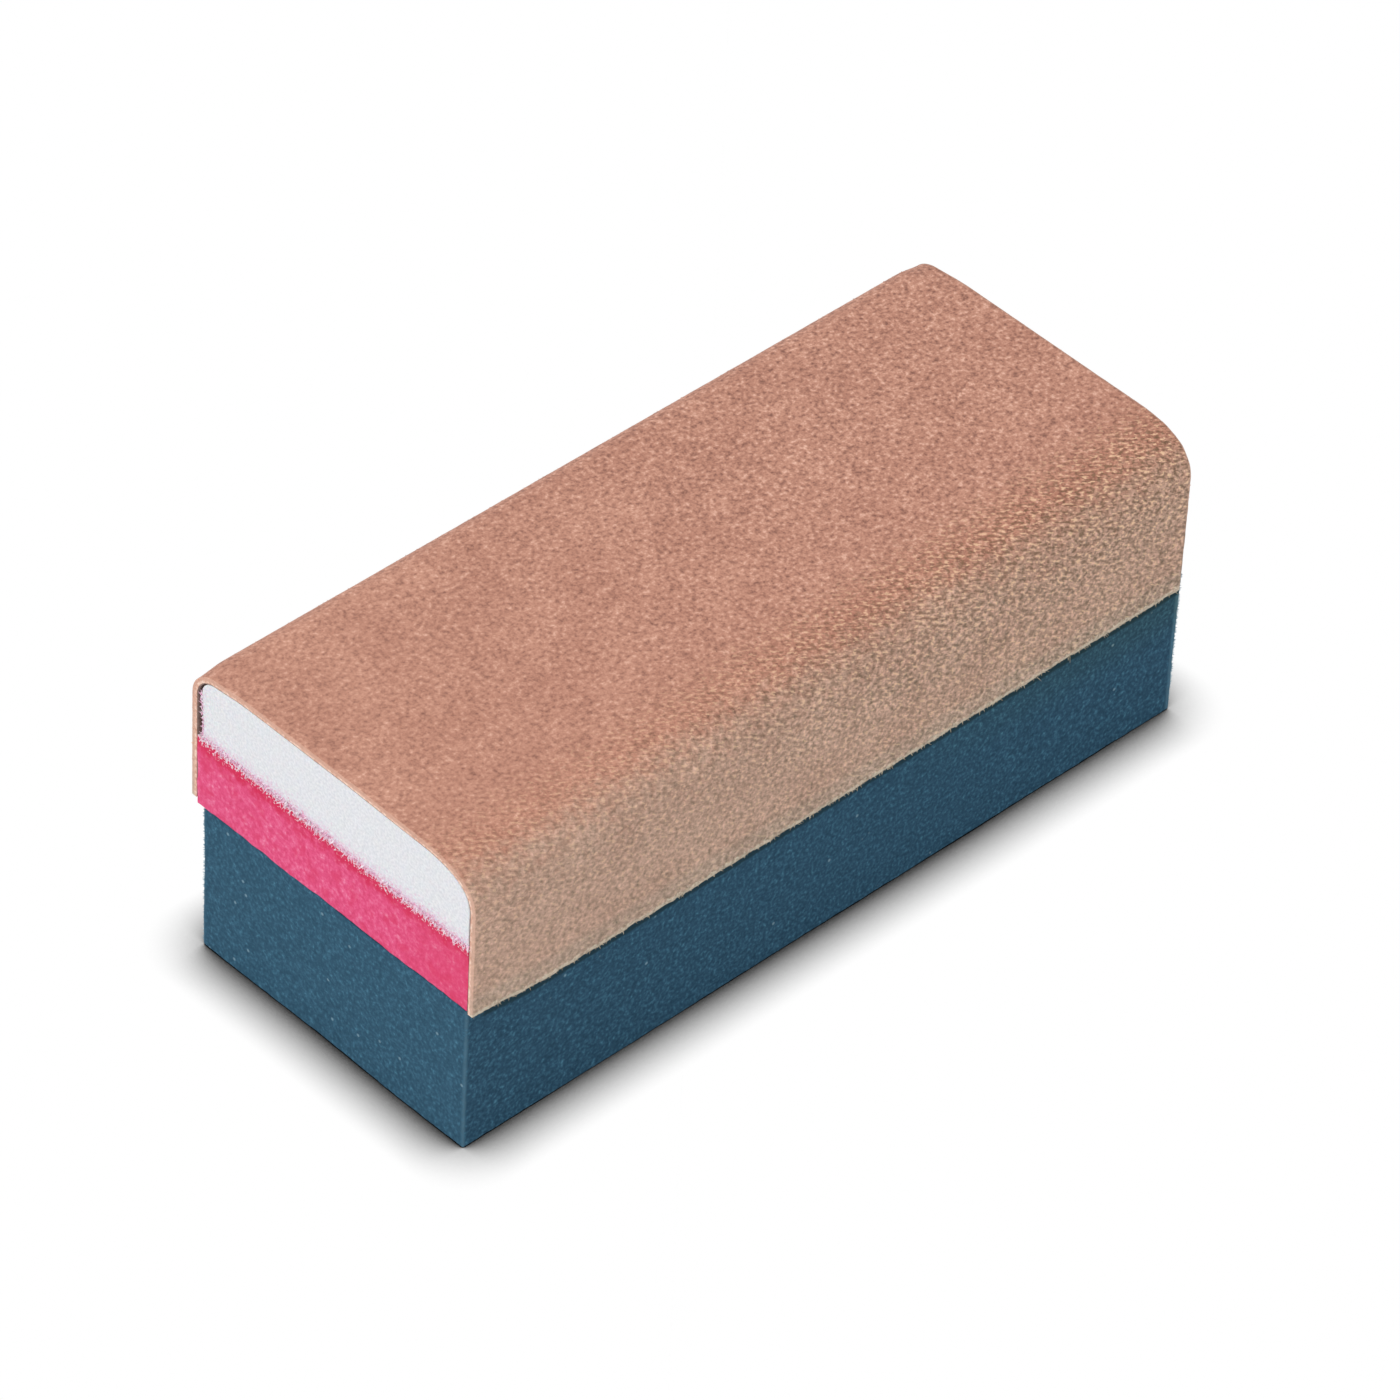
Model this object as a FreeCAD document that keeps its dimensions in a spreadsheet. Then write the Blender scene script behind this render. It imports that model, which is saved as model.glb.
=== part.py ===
import FreeCAD, Part
import os
import Sketcher

# Nail buffer block: a hand-held foam block with an abrasive sheet folded over its soft top.
#
# From the bench upwards it is a firm foam base, a glue line, a medium pink foam pad, a second glue line and a soft
# white foam cushion with rounded long shoulders.  A coated abrasive sheet is stuck over the cushion and hangs down
# both long sides as two flanges.  The sheet is three thin layers: adhesive, paper backing and grit coat.
# The block has no fastener and nothing moves: every face is glued to the next one.
#
# Frame, in millimetres: X along the block, Y across it, Z up.  The origin is the centre of the base's underside.
# "Near" is the long side at -Y, where the pad is flush with the base.  "Far" is the long side at +Y, where the pad
# overhangs the base.

SIZES = [
    ("length", 70.0, "block, along X"),
    ("base_width", 27.5, "base and cushion, across Y"),
    ("base_height", 13.1, "firm foam base"),
    ("glue_thickness", 0.1, "each glue line between two foams"),
    ("pad_height", 6.35, "medium foam pad"),
    ("pad_overhang", 0.65, "pad beyond the base on the far side"),
    ("cushion_height", 5.4, "soft foam cushion"),
    ("near_shoulder", 2.65, "radius of the cushion's near top edge"),
    ("far_shoulder", 1.8, "radius of the cushion's far top edge"),
    ("adhesive_thickness", 0.1, "adhesive on the back of the sheet"),
    ("backing_thickness", 0.2, "paper backing of the sheet"),
    ("coat_thickness", 0.25, "resin and grit on the backing"),
    ("near_flange_gap", 0.1, "lower edge of the near flange above the base"),
    ("far_flange_gap", 0.45, "lower edge of the far flange above the base"),
]

# Heights of the stack, as expressions on the sizes.
PAD_FLOOR = "(Sizes.base_height + Sizes.glue_thickness)"
PAD_TOP = f"({PAD_FLOOR} + Sizes.pad_height)"
CUSHION_FLOOR = f"({PAD_TOP} + Sizes.glue_thickness)"
CUSHION_TOP = f"({CUSHION_FLOOR} + Sizes.cushion_height)"

# Sides of the stack.
NEAR_SIDE = "(-Sizes.base_width / 2)"
FAR_SIDE = "(Sizes.base_width / 2)"
PAD_FAR_SIDE = f"({FAR_SIDE} + Sizes.pad_overhang)"
HALF_LENGTH = "(Sizes.length / 2)"

ORIGIN_POINT = (-1, 1)  # Sketcher's name for the sketch's own origin


def make_sizes(doc):
    """The spreadsheet that drives every other object."""
    sheet = doc.addObject("Spreadsheet::Sheet", "Sizes")
    for row, (alias, value, meaning) in enumerate(SIZES, start=1):
        sheet.set(f"A{row}", alias)
        sheet.set(f"B{row}", str(value))
        sheet.set(f"C{row}", meaning)
        sheet.setAlias(f"B{row}", alias)
    doc.recompute()
    return sheet


def make_body(doc, label):
    body = doc.addObject("PartDesign::Body", label)
    body.Label = label
    return body


def origin_plane(body, role):
    return next(feature for feature in body.Origin.OriginFeatures if feature.Role == role)


def square_sketch(body, name, role, corners):
    """A closed outline whose edges run along the sketch's axes, on one of the body's own planes.

    corners is a list of (u, v, radius).  u and v are expressions, and radius is one too, or None for a sharp corner.
    The first edge, from the first corner to the second, is vertical, and the edges alternate from there.
    """
    sketch = body.newObject("Sketcher::SketchObject", name)
    sketch.AttachmentSupport = [(origin_plane(body, role), "")]
    sketch.MapMode = "FlatFace"
    count = len(corners)
    at = [FreeCAD.Vector(number(body, u), number(body, v), 0) for u, v, _ in corners]
    trim = [number(body, radius) if radius else 0.0 for _, _, radius in corners]

    edges = []
    for i in range(count):
        j = (i + 1) % count
        along = (at[j] - at[i]).normalize()
        start = at[i] + along * trim[i]
        end = at[j] - along * trim[j]
        edges.append(sketch.addGeometry(Part.LineSegment(start, end), False))
        vertical = i % 2 == 0
        u, v, _ = corners[i]
        sketch.addConstraint(Sketcher.Constraint("Vertical" if vertical else "Horizontal", edges[i]))
        place = "DistanceX" if vertical else "DistanceY"
        value = at[i].x if vertical else at[i].y
        made = sketch.addConstraint(Sketcher.Constraint(place, *ORIGIN_POINT, edges[i], 1, value))
        sketch.setExpression(f"Constraints[{made}]", u if vertical else v)

    for i in range(count):
        before = edges[i - 1]
        after = edges[i]
        if not trim[i]:
            sketch.addConstraint(Sketcher.Constraint("Coincident", before, 2, after, 1))
            continue
        arc = sketch.addGeometry(corner_arc(at[i - 1], at[i], at[(i + 1) % count], trim[i]), False)
        turns_left = (at[i] - at[i - 1]).cross(at[(i + 1) % count] - at[i]).z > 0
        first, last = (1, 2) if turns_left else (2, 1)
        sketch.addConstraint(Sketcher.Constraint("Tangent", before, 2, arc, first))
        sketch.addConstraint(Sketcher.Constraint("Tangent", arc, last, after, 1))
        made = sketch.addConstraint(Sketcher.Constraint("Radius", arc, trim[i]))
        sketch.setExpression(f"Constraints[{made}]", corners[i][2])
    return sketch


def number(holder, expression):
    """The present value of an expression on the sizes, as a plain number."""
    value = holder.evalExpression(expression)
    return float(getattr(value, "Value", value))


def corner_arc(before, corner, after, radius):
    """The quarter circle that rounds a square corner, from the edge before it to the edge after it."""
    towards_before = (before - corner).normalize() * radius
    towards_after = (after - corner).normalize() * radius
    centre = corner + towards_before + towards_after
    middle = centre + (corner - centre).normalize() * radius
    return Part.ArcOfCircle(corner + towards_before, middle, corner + towards_after)


def pad_sketch(body, name, sketch, length, symmetric):
    """Pads a sketch by a length given as an expression, one way or to both sides of its plane."""
    pad = body.newObject("PartDesign::Pad", name)
    pad.Profile = sketch
    pad.setExpression("Length", length)
    pad.Midplane = symmetric
    sketch.Visibility = False
    return pad


def make_slab(doc, label, far_side, floor, thickness):
    """A flat layer of the stack: a rectangle over the block's whole length, standing at its floor height."""
    body = make_body(doc, label)
    corners = [
        (HALF_LENGTH, NEAR_SIDE, None),
        (HALF_LENGTH, far_side, None),
        (f"(-{HALF_LENGTH})", far_side, None),
        (f"(-{HALF_LENGTH})", NEAR_SIDE, None),
    ]
    outline = square_sketch(body, f"{label}_outline", "XY_Plane", corners)
    pad_sketch(body, f"{label}_pad", outline, thickness, symmetric=False)
    if floor:
        body.setExpression("Placement.Base.z", floor)
    return body


def make_cushion(doc):
    """The soft top: its two long upper edges are rounded, so that the sheet folds over without a crease."""
    body = make_body(doc, "soft_cushion")
    corners = [
        (FAR_SIDE, CUSHION_FLOOR, None),
        (FAR_SIDE, CUSHION_TOP, "Sizes.far_shoulder"),
        (NEAR_SIDE, CUSHION_TOP, "Sizes.near_shoulder"),
        (NEAR_SIDE, CUSHION_FLOOR, None),
    ]
    section = square_sketch(body, "cushion_section", "YZ_Plane", corners)
    pad_sketch(body, "cushion_pad", section, "Sizes.length", symmetric=True)
    return body


def make_wrap(doc, label, inside, thickness):
    """One layer of the folded sheet: a thin saddle that lies on the layer inside it.

    inside is the depth of sheet between the foam and this layer's inner face, and both are expressions.
    """
    outside = f"({inside} + {thickness})"
    near_edge = "(Sizes.base_height + Sizes.near_flange_gap)"
    far_edge = "(Sizes.base_height + Sizes.far_flange_gap)"
    corners = [
        (f"({PAD_FAR_SIDE} + {outside})", far_edge, None),
        (f"({PAD_FAR_SIDE} + {outside})", f"({CUSHION_TOP} + {outside})", f"(Sizes.far_shoulder + {outside})"),
        (f"({NEAR_SIDE} - {outside})", f"({CUSHION_TOP} + {outside})", f"(Sizes.near_shoulder + {outside})"),
        (f"({NEAR_SIDE} - {outside})", near_edge, None),
        (f"({NEAR_SIDE} - {inside})", near_edge, None),
        (f"({NEAR_SIDE} - {inside})", f"({CUSHION_TOP} + {inside})", f"(Sizes.near_shoulder + {inside})"),
        (f"({PAD_FAR_SIDE} + {inside})", f"({CUSHION_TOP} + {inside})", f"(Sizes.far_shoulder + {inside})"),
        (f"({PAD_FAR_SIDE} + {inside})", far_edge, None),
    ]
    body = make_body(doc, label)
    section = square_sketch(body, f"{label}_section", "YZ_Plane", corners)
    pad_sketch(body, f"{label}_pad", section, "Sizes.length", symmetric=True)
    return body


def check(doc, parts):
    """Stops the build where an object failed or a sub-part isn't one valid solid."""
    for item in doc.Objects:
        if "Invalid" in item.State or "Error" in item.State:
            raise RuntimeError(f"{item.Label} failed: {item.State}")
    for part in parts:
        shape = part.Shape
        if shape.isNull() or not shape.isValid() or len(shape.Solids) != 1:
            raise RuntimeError(f"{part.Label} isn't one valid solid")


def main():
    doc = FreeCAD.newDocument("NailBufferBlock")
    make_sizes(doc)
    to_backing = "Sizes.adhesive_thickness"
    to_coat = f"({to_backing} + Sizes.backing_thickness)"
    parts = [
        make_slab(doc, "base_block", FAR_SIDE, None, "Sizes.base_height"),
        make_slab(doc, "base_glue_line", FAR_SIDE, "Sizes.base_height", "Sizes.glue_thickness"),
        make_slab(doc, "middle_pad", PAD_FAR_SIDE, PAD_FLOOR, "Sizes.pad_height"),
        make_slab(doc, "cushion_glue_line", FAR_SIDE, PAD_TOP, "Sizes.glue_thickness"),
        make_cushion(doc),
        make_wrap(doc, "sheet_adhesive", "0", "Sizes.adhesive_thickness"),
        make_wrap(doc, "sheet_backing", to_backing, "Sizes.backing_thickness"),
        make_wrap(doc, "abrasive_coat", to_coat, "Sizes.coat_thickness"),
    ]
    doc.recompute()
    check(doc, parts)
    os.makedirs("parts", exist_ok=True)
    for part in parts:
        part.Shape.exportStep(os.path.join("parts", part.Label + ".step"))
        print(part.Label, round(part.Shape.Volume, 2), "mm3", part.Shape.BoundBox)


main()
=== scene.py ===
# %% [markdown]
# # A nail buffer block in Blender
#
# The object is a hand-held block of three foams with an abrasive sheet folded over its soft top. The packed
# CAD model is the fixed frame: it says where each piece is and how large. This lesson dresses that frame.
# It makes the foams and the sheet as meshes with the small faults of sawn foam and cut paper, strews grit
# and torn foam with Geometry Nodes, and gives each piece a material that starts from what the real one is.

# %% Load the frame
import math

import bpy
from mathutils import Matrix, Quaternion, Vector, noise


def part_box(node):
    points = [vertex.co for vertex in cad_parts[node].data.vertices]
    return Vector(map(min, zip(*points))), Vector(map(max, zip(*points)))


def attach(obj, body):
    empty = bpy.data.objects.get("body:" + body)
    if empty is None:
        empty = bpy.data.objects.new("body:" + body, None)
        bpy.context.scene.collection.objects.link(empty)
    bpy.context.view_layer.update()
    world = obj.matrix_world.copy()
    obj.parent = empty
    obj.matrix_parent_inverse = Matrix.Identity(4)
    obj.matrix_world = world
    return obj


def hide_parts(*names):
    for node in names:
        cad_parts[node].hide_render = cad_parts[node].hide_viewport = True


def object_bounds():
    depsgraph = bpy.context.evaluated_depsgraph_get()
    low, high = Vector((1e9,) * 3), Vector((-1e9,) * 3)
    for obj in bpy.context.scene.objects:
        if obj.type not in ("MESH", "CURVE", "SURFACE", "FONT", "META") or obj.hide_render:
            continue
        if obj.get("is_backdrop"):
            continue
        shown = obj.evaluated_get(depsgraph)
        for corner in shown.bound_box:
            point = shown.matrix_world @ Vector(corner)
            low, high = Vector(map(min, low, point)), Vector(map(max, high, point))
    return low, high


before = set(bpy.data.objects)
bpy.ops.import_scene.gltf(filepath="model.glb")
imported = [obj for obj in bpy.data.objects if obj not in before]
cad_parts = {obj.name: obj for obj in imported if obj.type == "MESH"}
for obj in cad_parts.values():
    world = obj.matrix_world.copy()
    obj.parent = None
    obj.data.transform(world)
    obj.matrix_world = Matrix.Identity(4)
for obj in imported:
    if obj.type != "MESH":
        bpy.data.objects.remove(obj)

MM = 0.001  # one millimetre in metres
cad_box = [list(corner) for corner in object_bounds()]
print("nodes:", sorted(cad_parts))

# %% [markdown]
# ## Places
#
# Every place comes from the boxes of the CAD nodes, so the looks follow the frame if a size changes there.
# Only the two shoulder radii and the lift of the far lip can't be read from a box, and they are named here.

# %% Read the places
base_lo, base_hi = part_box("base_block")
pad_lo, pad_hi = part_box("middle_pad")
cushion_lo, cushion_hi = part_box("soft_cushion")
adhesive_lo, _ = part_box("sheet_adhesive")
backing_lo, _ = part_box("sheet_backing")
coat_lo, coat_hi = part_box("abrasive_coat")

NEAR_SHOULDER = 2.65 * MM  # radius of the cushion's long top edge at -Y
FAR_SHOULDER = 1.8 * MM  # and at +Y
FAR_LIP_LIFT = 0.35 * MM  # the far flange ends this much higher than the near one

near_end, far_end = base_lo.x, base_hi.x
print("length", round((far_end - near_end) / MM, 2), "mm, height", round(coat_hi.z / MM, 2), "mm")

# %% [markdown]
# ## Two small helpers
#
# Colours are written as sRGB hex, as a paint chart gives them, and Blender's sockets want linear light, so
# one function turns one into the other. The second helper adds a node, sets it up and links it, for shader
# trees and geometry trees alike.


# %% Colour and node helpers
def colour(hexa):
    """The linear colour, with alpha, of an sRGB hex value."""
    channels = [int(hexa[i : i + 2], 16) / 255 for i in (0, 2, 4)]
    return [c / 12.92 if c <= 0.04045 else ((c + 0.055) / 1.055) ** 2.4 for c in channels] + [1.0]


def add(tree, kind, inputs=None, **settings):
    """A new node with its settings.  An input is a value, or a socket to link from."""
    node = tree.nodes.new(kind)
    for name, value in settings.items():
        setattr(node, name, value)
    for key, value in (inputs or {}).items():
        if isinstance(value, bpy.types.NodeSocket):
            tree.links.new(value, node.inputs[key])
        else:
            node.inputs[key].default_value = value
    return node


print("the middle grey 808080 in linear light:", round(colour("808080")[0], 3))

# %% [markdown]
# ## Patterns in millimetres
#
# A foam cell or a grain of grit has a real size, so every pattern is scaled from one. Object coordinates
# are in metres. They are turned to millimetres first, and then a noise of scale 1 / size has features of
# that size. A pattern could also be an image, but noise has no seams and stays sharp close up.


# %% Places and noise in millimetres
def millimetres(tree):
    """Object coordinates in millimetres."""
    where = add(tree, "ShaderNodeTexCoord").outputs["Object"]
    return add(tree, "ShaderNodeVectorMath", {0: where, "Scale": 1 / MM}, operation="SCALE").outputs[0]


def axes(tree):
    """The X, Y and Z sockets of the place in millimetres."""
    return add(tree, "ShaderNodeSeparateXYZ", {0: millimetres(tree)}).outputs


def grain(tree, size, detail=2.0, rough=0.5):
    """Smooth noise around 0.5, with features of a size in millimetres."""
    inputs = {"Vector": millimetres(tree), "Scale": 1 / size, "Detail": detail, "Roughness": rough}
    return add(tree, "ShaderNodeTexNoise", inputs).outputs[0]


# %% Masks: numbers from 0 to 1
def maths(tree, operation, *values):
    return add(tree, "ShaderNodeMath", dict(enumerate(values)), operation=operation).outputs[0]


def between(tree, value, start, end):
    """0 up to start, 1 from end on, and a smooth step between them."""
    inputs = {"Value": value, "From Min": start, "From Max": end}
    return add(tree, "ShaderNodeMapRange", inputs, interpolation_type="SMOOTHSTEP").outputs[0]


def product(tree, mask, *others):
    """Masks and strengths multiplied together."""
    for other in others:
        mask = maths(tree, "MULTIPLY", mask, other)
    return mask


def ranging(tree, mask, least, most=1.0):
    """A mask as a strength from least to most."""
    return maths(tree, "MULTIPLY_ADD", mask, most - least, least)


def strayed(tree, distance, pattern, reach):
    """A distance that a noise makes uneven, by up to a reach in millimetres."""
    return maths(tree, "MULTIPLY_ADD", pattern, reach, distance)


# %% Colours from masks
def ramp(tree, factor, stops):
    """A colour ramp over a factor: stops are (place, hex) pairs."""
    node = add(tree, "ShaderNodeValToRGB", {0: factor})
    band = node.color_ramp
    while len(band.elements) < len(stops):
        band.elements.new(0.5)
    for element, (place, hexa) in zip(band.elements, stops):
        element.position = place
        element.color = colour(hexa)
    return node.outputs[0]


def blend(tree, factor, first, second, mode="MIX"):
    """Mixes two colours, each a socket or a hex value."""
    node = add(tree, "ShaderNodeMix", {0: factor}, data_type="RGBA", blend_type=mode)
    for socket, value in ((node.inputs[6], first), (node.inputs[7], second)):
        if isinstance(value, str):
            socket.default_value = colour(value)
        else:
            tree.links.new(value, socket)
    return node.outputs[2]


def tint(tree, tone, hexa, *masks, mode="MIX"):
    """Lays a colour over a tone where the masks are 1."""
    return blend(tree, product(tree, *masks), tone, hexa, mode)


# %% A material to start from
def new_material(name, roughness, specular):
    """A dull principled material, and its tree and shader node."""
    material = bpy.data.materials.new(name)
    material.use_nodes = True
    tree = material.node_tree
    shader = tree.nodes["Principled BSDF"]
    shader.inputs["Roughness"].default_value = roughness
    shader.inputs["Specular IOR Level"].default_value = specular
    print("material", name)
    return material, tree, shader


def finish(tree, shader, tone, height, depth_mm, strength):
    """Gives the shader its colour, and a bump from a height of 0 to 1 that stands for depth_mm."""
    tree.links.new(tone, shader.inputs["Base Color"])
    inputs = {"Height": height, "Distance": depth_mm * MM, "Strength": strength}
    tree.links.new(add(tree, "ShaderNodeBump", inputs).outputs[0], shader.inputs["Normal"])


# %% [markdown]
# ## Camera
#
# The block is seen from above one corner, with a long lens, so its long edges are nearly parallel. Three
# angles could turn the camera, but azimuth, elevation and distance around the block's middle say where it
# stands. It is then rolled a little.

# %% Place the camera
AZIMUTH = math.radians(-45.36)
ELEVATION = math.radians(41.72)
ROLL = math.radians(3.04)
DISTANCE = 0.6312
LENS = 226.8
AIM_SHIFT = Vector((0.18, -0.17, -0.92)) * MM  # from the middle of the CAD box to the middle of the view

aim = (Vector(cad_box[0]) + Vector(cad_box[1])) / 2 + AIM_SHIFT
level_reach = math.cos(ELEVATION)
back = Vector((math.sin(AZIMUTH) * level_reach, -math.cos(AZIMUTH) * level_reach, math.sin(ELEVATION)))
camera = bpy.data.objects.new("camera", bpy.data.cameras.new("camera"))
camera.data.lens = LENS
camera.data.clip_start = 0.01
camera.location = aim + back * DISTANCE
camera.rotation_mode = "QUATERNION"
camera.rotation_quaternion = back.to_track_quat("Z", "Y") @ Quaternion((0, 0, 1), ROLL)
bpy.context.scene.collection.objects.link(camera)
bpy.context.scene.camera = camera
print("camera at", [round(c, 3) for c in camera.location])

# %% [markdown]
# ## Light and floor
#
# The light is a plain soft studio: a white surround, one large softbox high behind the block, a wider one
# beyond its near end and one beside it. They add up so that a colour on the top renders about as it is
# written. The floor is white to the camera. How shut-in each of its points is, which the Ambient Occlusion
# node measures, darkens it beside the block, as a soft contact shadow does.

# %% Set the lights
SURROUND = 0.6
SOFTBOXES = {  # name: (direction from the block, distance, side, power in watts)
    "key_softbox": ((-0.25, 0.45, 0.86), 0.6, 0.45, 1.3),
    "end_softbox": ((-0.85, -0.2, 0.45), 0.7, 0.5, 1.25),
    "side_softbox": ((0.35, -0.85, 0.4), 0.7, 0.5, 0.8),
}


def seen_rays(tree):
    """1 for the rays that the eye meets: straight from the camera, off gloss or through glass."""
    rays = add(tree, "ShaderNodeLightPath").outputs
    direct = maths(tree, "MAXIMUM", rays["Is Camera Ray"], rays["Is Glossy Ray"])
    return maths(tree, "MAXIMUM", direct, rays["Is Transmission Ray"])


world = bpy.data.worlds.new("white_surround")
world.use_nodes = True
sky = world.node_tree
sky.nodes.clear()
level = maths(sky, "MAXIMUM", seen_rays(sky), SURROUND)
surround = add(sky, "ShaderNodeBackground", {"Color": colour("ffffff"), "Strength": level})
add(sky, "ShaderNodeOutputWorld", {"Surface": surround.outputs[0]})
bpy.context.scene.world = world

for name, (direction, distance, side, power) in SOFTBOXES.items():
    lamp = bpy.data.lights.new(name, "AREA")
    lamp.energy = power
    lamp.size = side
    box = bpy.data.objects.new(name, lamp)
    towards = Vector(direction).normalized()
    box.location = aim + towards * distance
    box.rotation_mode = "QUATERNION"
    box.rotation_quaternion = towards.to_track_quat("Z", "Y")
    bpy.context.scene.collection.objects.link(box)
print("lights:", list(SOFTBOXES))

# %% Lay the floor
SHADOW_REACH = 4.5 * MM  # the contact shadow fades out this far from the block
SHADOW_DEPTH = 1.94  # how much light an open half of the sky is worth there
FLOOR_SIDE = 2.0


def floor_material():
    material = bpy.data.materials.new("white_paper_sweep")
    material.use_nodes = True
    tree = material.node_tree
    tree.nodes.clear()
    open_sky = add(tree, "ShaderNodeAmbientOcclusion", {"Distance": SHADOW_REACH}, samples=16).outputs["AO"]
    fading = {0: open_sky, 1: SHADOW_DEPTH, 2: 1 - SHADOW_DEPTH}
    lit = add(tree, "ShaderNodeMath", fading, operation="MULTIPLY_ADD", use_clamp=True).outputs[0]
    seen = add(tree, "ShaderNodeEmission", {"Color": colour("ffffff"), "Strength": lit}).outputs[0]
    lighting = add(tree, "ShaderNodeBsdfDiffuse", {"Color": colour("e8e8e8")}).outputs[0]
    mixed = add(tree, "ShaderNodeMixShader", {0: seen_rays(tree), 1: lighting, 2: seen}).outputs[0]
    add(tree, "ShaderNodeOutputMaterial", {"Surface": mixed})
    return material


bpy.ops.mesh.primitive_plane_add(size=FLOOR_SIDE)
floor = bpy.context.object
floor.name = "paper_sweep"
floor.data.materials.append(floor_material())
floor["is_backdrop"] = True
print("floor:", FLOOR_SIDE, "m across")

# %% [markdown]
# ## A foam block as a fine lattice
#
# A foam piece is sawn from a sheet, so it is a box, but never a perfect one: its faces wander a little and
# its edges are soft. A subdivided cube would spend its faces evenly. Here a lattice with closer lines near
# the edges carries the softened edges, and smooth noise then pushes every point. The same functions make
# all three foams.

# %% A lattice with closer lines near its edges
CLOSE_LINES = [0, 0.06 * MM, 0.14 * MM, 0.26 * MM, 0.42 * MM]  # how far the first lines are from a face


def evenly(start, end, count):
    """Numbers from start to end, in this many even steps."""
    return [start + (end - start) * i / count for i in range(count + 1)]


def ticks(low, high, step):
    """Lattice lines about a step apart, and closer at both ends.  A film has only its two faces."""
    reach = CLOSE_LINES[-1]
    if high - low < 2 * reach:
        return [low, high]
    inner_low, inner_high = low + reach, high - reach
    count = max(1, round((inner_high - inner_low) / step))
    inner = evenly(inner_low, inner_high, count)[1:-1]
    return [low + c for c in CLOSE_LINES] + inner + [high - c for c in reversed(CLOSE_LINES)]


def lattice(low, high, step):
    """The closed surface of a box as points and outward four-sided faces."""
    lines = [ticks(low[a], high[a], step) for a in range(3)]
    last = [len(line) - 1 for line in lines]
    index, points, faces = {}, [], []

    def corner(cell):
        if cell not in index:
            index[cell] = len(points)
            points.append(Vector(lines[a][cell[a]] for a in range(3)))
        return index[cell]

    for axis in range(3):
        u, v = (axis + 1) % 3, (axis + 2) % 3
        for side in (0, last[axis]):
            for i in range(last[u]):
                for j in range(last[v]):
                    loop = []
                    for di, dj in ((0, 0), (1, 0), (1, 1), (0, 1)):
                        cell = [0, 0, 0]
                        cell[axis], cell[u], cell[v] = side, i + di, j + dj
                        loop.append(corner(tuple(cell)))
                    faces.append(loop if side else loop[::-1])
    return points, faces


print("lines across 5 mm at a 1 mm step:", len(ticks(0.0, 5 * MM, 1 * MM)))


# %% Soft edges and wandering faces
noise.seed_set(1)  # without a seed of its own, noise_vector takes one from the clock


def soften(point, low, high, radius):
    """Moves a point of a box's surface onto the same box with rounded edges."""
    core = Vector(min(max(point[a], low[a] + radius), high[a] - radius) for a in range(3))
    out = point - core
    reach = max(abs(c) for c in out)
    return core + out.normalized() * reach if reach > 0 else point


def wander(point, size, amount, seed):
    """A smooth push in every direction, with features of a size, at most about an amount."""
    return noise.noise_vector(point / size + Vector((seed, 0, 0))) * amount


# %% Finish a piece and put it on the block
AS_CUT = "height_as_cut"  # an attribute: each point's height in millimetres before the block settled


def finished(name, points, faces, material):
    """A mesh object in the scene, made of these points and faces."""
    mesh = bpy.data.meshes.new(name)
    mesh.from_pydata([tuple(p) for p in points], [], faces)
    mesh.materials.append(material)
    mesh.shade_smooth()
    made = bpy.data.objects.new(name, mesh)
    bpy.context.scene.collection.objects.link(made)
    print(f"{name}: {len(mesh.polygons)} faces")
    return made


def dress(piece, slot, *nodes):
    """Rides the piece on the block's one body and hides the CAD nodes that it replaces."""
    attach(piece, "root")
    if nodes:
        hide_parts(*nodes)
    return piece


def foam_piece(name, node, slot, step, place, material):
    """One of the three foams: a lattice over its CAD box, with each point moved to its place."""
    points, faces = lattice(*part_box(node), step)
    piece = finished(name, [place(p) for p in points], faces, material)
    heights = piece.data.attributes.new(AS_CUT, "FLOAT", "POINT")
    heights.data.foreach_set("value", [p.z / MM for p in points])
    dress(piece, slot, node)
    return piece


# %% [markdown]
# ## How the soft half sits
#
# The block is glued and sawn by hand, so its soft half isn't quite true: the near flank leans in, the top
# is crowned, the seam between pad and cushion dips at the near side, the far end is out of square, and the
# sheet's near lip hangs over the glue line. A Lattice modifier could bend each piece. One function that
# every soft piece passes through keeps the layers on each other instead, and each fault is a named length.

# %% The faults and their lengths
LEAN_IN = 0.4 * MM  # of the near flank, at the far end
CROWN = 0.35 * MM  # how far the top stands proud
CROWN_START, CROWN_FULL = 1 * MM, 5 * MM  # from the near side: where the crown starts, and where it is whole
CROWN_LEFT = 0.5  # how much of the crown is left in the near corner
CORNER_REACH = 2.4 * MM  # the crown fades out this far from the two ends, along the far shoulder
CORNER_INWARD = 4.5 * MM  # and this far from the far side
CORNER_LOSS = 0.9  # how much of the crown the far corners lose
SHOULDER_SAG = 0.25 * MM  # of the near shoulder, at the near end
SAG_MIDDLE, SAG_WIDTH = 1.5 * MM, 1.6 * MM  # from the near side, and each way from there
NEAR_END_REACH = 25 * MM  # the near end's faults fade out this far from it
SEAM_DIP = 0.4 * MM  # of the seam, at the near side
SEAM_REACH = 2.5 * MM  # how far above and below the seam the dip is felt
SEAM_DIP_FULL = 6 * MM  # from the near side: where the dip is whole
OUT_OF_SQUARE = 0.5 * MM  # how far the saw ran in at the foot of the far end
LIP_DROOP = 0.75 * MM  # the sheet's near lip hangs this much below the glue line
CORNER_LIFT = 0.55 * MM  # and it stands this much higher again at the near corner
CORNER_RUN = 7 * MM  # that lift fades out this far from the near end

NEAR_LIP = coat_lo.z - LIP_DROOP
FAR_LIP = coat_lo.z + FAR_LIP_LIFT
print("lips at", round(NEAR_LIP / MM, 2), "and", round(FAR_LIP / MM, 2), "mm")


# %% Settle a point of the soft half
def rise(value, start, end):
    """0 up to start, 1 from end on, and a smooth step between them."""
    t = min(max((value - start) / (end - start), 0.0), 1.0)
    return t * t * (3 - 2 * t)


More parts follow.
